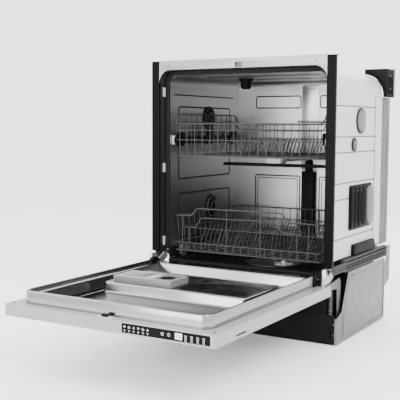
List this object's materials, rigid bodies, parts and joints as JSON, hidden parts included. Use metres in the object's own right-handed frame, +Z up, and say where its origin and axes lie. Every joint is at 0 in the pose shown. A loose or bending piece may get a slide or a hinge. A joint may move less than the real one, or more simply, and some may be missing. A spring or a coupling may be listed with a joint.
{
  "type": "built-in dishwasher",
  "caption": "Fully integrated dishwasher with its drop-down door open, stainless tub, two wire racks, spray arms and a recessed plinth.",
  "frame": {"origin": "on the floor, at the middle of the footprint with the door open", "axes": "+X to the right as seen from the front, +Y from the opened door to the rear, +Z up"},
  "size_m": [0.598, 1.16, 0.815],
  "materials": {
    "black_plastic": "satin",
    "foot_plastic": "satin",
    "dark_plastic": "satin",
    "grey_plastic": "satin",
    "light_plastic": "satin",
    "wheel_plastic": "satin",
    "console": "satin",
    "dispenser": "gloss",
    "glass_black": "gloss",
    "board": "satin",
    "galvanised": "satin",
    "spring_steel": "satin",
    "stainless": "brushed",
    "door_panel": "satin",
    "jacket": "satin",
    "felt": "matte",
    "seal_rubber": "matte",
    "coated_wire": "satin",
    "screws": "polished"
  },
  "bodies": {
    "cabinet": {"base_tray": "dark_plastic", "base_sides": "galvanised", "toe_kick": "dark_plastic", "base_rails": "grey_plastic", "tub_wrap": "stainless", "tub_back": "stainless", "tub_floor": "dark_plastic", "insulation": "felt", "tub_jacket": "jacket", "front_frame": "stainless", "door_gasket": "seal_rubber", "sill_seal": "seal_rubber", "side_trims": "black_plastic", "rear_straps": "galvanised", "corner_brackets": "black_plastic", "jacket_caps": "grey_plastic", "breather": "dark_plastic", "cable_cover": "dark_plastic", "hinge_brackets": "galvanised", "balance_springs": "spring_steel", "latch_keeper": "galvanised", "rail_guides": "stainless", "rear_duct": "dark_plastic", "ceiling_sprayer": "black_plastic", "wall_caps": "black_plastic", "sump": "dark_plastic", "filter_plate": "stainless", "circulation_pump": "light_plastic", "drain_pump": "light_plastic", "inlet_valve": "light_plastic"},
    "front_left_foot": {"foot_front_left": "foot_plastic"},
    "front_right_foot": {"foot_front_right": "foot_plastic"},
    "rear_left_foot": {"foot_rear_left": "foot_plastic"},
    "rear_right_foot": {"foot_rear_right": "foot_plastic"},
    "filter": {"filter_cylinder": "light_plastic"},
    "door": {"door_outer_panel": "door_panel", "control_console": "console", "control_glass": "glass_black", "control_board": "board", "door_inner_pan": "stainless", "pan_end_caps": "black_plastic", "dispenser_body": "dispenser", "latch_housing": "light_plastic", "hinge_arms": "galvanised", "door_screws": "screws"},
    "dispenser_lid": {"detergent_lid": "dispenser"},
    "rinse_cap": {"rinse_aid_cap": "black_plastic"},
    "latch": {"latch_hook": "black_plastic"},
    "upper_basket": {"upper_rack": "coated_wire", "upper_feed_pipe": "light_plastic"},
    "cup_rest": {"cup_shelf": "coated_wire"},
    "upper_arm": {"upper_spray_arm": "dark_plastic"},
    "rails": {"upper_rails": "stainless"},
    "lower_basket": {"lower_rack": "coated_wire"},
    "fold_row": {"folding_tines": "coated_wire"},
    "front_left_wheel": {"wheel_fl": "wheel_plastic"},
    "front_right_wheel": {"wheel_fr": "wheel_plastic"},
    "rear_left_wheel": {"wheel_rl": "wheel_plastic"},
    "rear_right_wheel": {"wheel_rr": "wheel_plastic"},
    "lower_arm": {"lower_spray_arm": "dark_plastic"}
  },
  "joints": [
    {"name": "door_hinge", "type": "hinge", "parent": "cabinet", "child": "door", "pos_m": [0, 0.054, 0.174], "axis": [1, 0, 0], "range_deg": [-90, 0], "deforming": ["balance_springs"]},
    {"name": "upper_rack_slide", "type": "slide", "parent": "cabinet", "child": "upper_basket", "axis": [0, -1, 0], "range_m": [0, 0.45]},
    {"name": "rail_slide", "type": "slide", "parent": "cabinet", "child": "rails", "axis": [0, -1, 0], "range_m": [0, 0.225]},
    {"name": "lower_rack_slide", "type": "slide", "parent": "cabinet", "child": "lower_basket", "axis": [0, -1, 0], "range_m": [0, 0.45]},
    {"name": "front_left_wheel_spin", "type": "hinge", "parent": "lower_basket", "child": "front_left_wheel", "pos_m": [-0.2524, 0.175, 0.2253], "axis": [1, 0, 0], "continuous": true},
    {"name": "front_right_wheel_spin", "type": "hinge", "parent": "lower_basket", "child": "front_right_wheel", "pos_m": [0.2524, 0.175, 0.2253], "axis": [1, 0, 0], "continuous": true},
    {"name": "rear_left_wheel_spin", "type": "hinge", "parent": "lower_basket", "child": "rear_left_wheel", "pos_m": [-0.2524, 0.468, 0.2253], "axis": [1, 0, 0], "continuous": true},
    {"name": "rear_right_wheel_spin", "type": "hinge", "parent": "lower_basket", "child": "rear_right_wheel", "pos_m": [0.2524, 0.468, 0.2253], "axis": [1, 0, 0], "continuous": true},
    {"name": "cup_shelf_fold", "type": "hinge", "parent": "upper_basket", "child": "cup_rest", "pos_m": [0.238, 0.3215, 0.632], "axis": [0, 1, 0], "range_deg": [0, 88]},
    {"name": "upper_arm_spin", "type": "hinge", "parent": "upper_basket", "child": "upper_arm", "pos_m": [0, 0.3215, 0.497], "axis": [0, 0, 1], "continuous": true},
    {"name": "lower_arm_spin", "type": "hinge", "parent": "cabinet", "child": "lower_arm", "pos_m": [0, 0.3215, 0.212], "axis": [0, 0, 1], "continuous": true},
    {"name": "tine_fold", "type": "hinge", "parent": "lower_basket", "child": "fold_row", "pos_m": [0.07, 0.3215, 0.2364], "axis": [0, 1, 0], "range_deg": [0, 82]},
    {"name": "lid_swing", "type": "hinge", "parent": "door", "child": "dispenser_lid", "pos_m": [-0.141, -0.2045, 0.2158], "axis": [1, 0, 0], "range_deg": [-100, 0]},
    {"name": "rinse_cap_turn", "type": "hinge", "parent": "door", "child": "rinse_cap", "pos_m": [-0.046, -0.233, 0.214], "axis": [0, 0, 1], "range_deg": [0, 90]},
    {"name": "latch_travel", "type": "slide", "parent": "door", "child": "latch", "axis": [0, 1, 0], "range_m": [0, 0.004], "stiffness_N_per_m": 400, "springref_m": -0.002},
    {"name": "filter_turn", "type": "hinge", "parent": "cabinet", "child": "filter", "pos_m": [0.042, 0.3015, 0.185], "axis": [0, 0, 1], "range_deg": [0, 90]},
    {"name": "front_left_foot_screw", "type": "slide", "parent": "cabinet", "child": "front_left_foot", "axis": [0, 0, -1], "range_m": [0, 0.05]},
    {"name": "front_right_foot_screw", "type": "slide", "parent": "cabinet", "child": "front_right_foot", "axis": [0, 0, -1], "range_m": [0, 0.05]},
    {"name": "rear_left_foot_screw", "type": "slide", "parent": "cabinet", "child": "rear_left_foot", "axis": [0, 0, -1], "range_m": [0, 0.05]},
    {"name": "rear_right_foot_screw", "type": "slide", "parent": "cabinet", "child": "rear_right_foot", "axis": [0, 0, -1], "range_m": [0, 0.05]}
  ],
  "couplings": [
    {"joint": "rail_slide", "follows": "upper_rack_slide", "ratio": 0.5},
    {"joint": "front_left_wheel_spin", "follows": "lower_rack_slide", "rad_per_m": 50},
    {"joint": "front_right_wheel_spin", "follows": "lower_rack_slide", "rad_per_m": 50},
    {"joint": "rear_left_wheel_spin", "follows": "lower_rack_slide", "rad_per_m": 50},
    {"joint": "rear_right_wheel_spin", "follows": "lower_rack_slide", "rad_per_m": 50}
  ]
}
